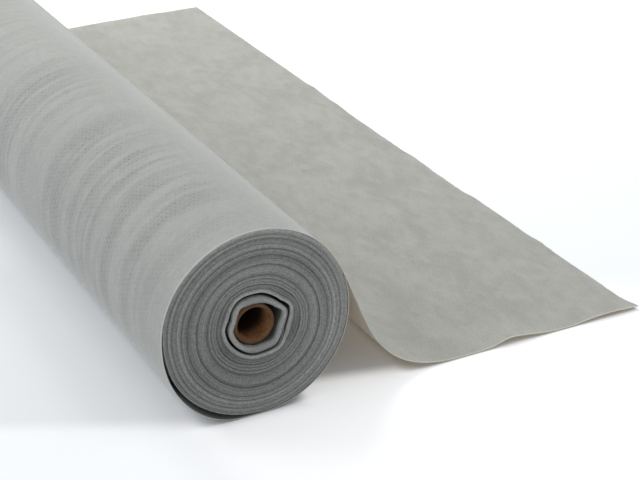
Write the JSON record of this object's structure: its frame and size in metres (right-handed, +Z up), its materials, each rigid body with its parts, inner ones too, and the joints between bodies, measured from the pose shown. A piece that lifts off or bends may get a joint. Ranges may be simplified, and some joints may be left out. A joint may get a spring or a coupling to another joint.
{
  "type": "roll of landscape fabric",
  "caption": "Roll of grey landscape fabric wound on a cardboard tube, with a loose outer turn and its free end drawn out over the floor.",
  "frame": {"origin": "on the floor, under the middle of the roll's axis, on the flat underside of the loose outer turn", "axes": "+X to the free end, +Y along the roll's axis, +Z up"},
  "size_m": [0.4162, 0.914, 0.1498],
  "materials": {
    "core_cardboard": "matte",
    "wound_fabric": "matte",
    "sheet_fabric": "matte"
  },
  "bodies": {
    "lying_turn": {"loose_outer_turn": "sheet_fabric"},
    "wound_roll": {"fabric_winding": "wound_fabric", "core_tube": "core_cardboard"},
    "falling_sheet": {"fabric_drop": "sheet_fabric"},
    "free_end": {"fabric_tail": "sheet_fabric"}
  },
  "joints": [
    {"name": "roll_turn", "type": "hinge", "parent": "lying_turn", "child": "wound_roll", "pos_m": [0, 0, 0.0749], "axis": [0, 1, 0], "continuous": true},
    {"name": "drop_swing", "type": "hinge", "parent": "lying_turn", "child": "falling_sheet", "pos_m": [0.0642, 0, 0.11348], "axis": [0, -1, 0], "range_deg": [0, 60]},
    {"name": "tail_lift", "type": "hinge", "parent": "falling_sheet", "child": "free_end", "pos_m": [0.17302, 0, 0.001], "axis": [0, -1, 0], "range_deg": [0, 110]}
  ]
}
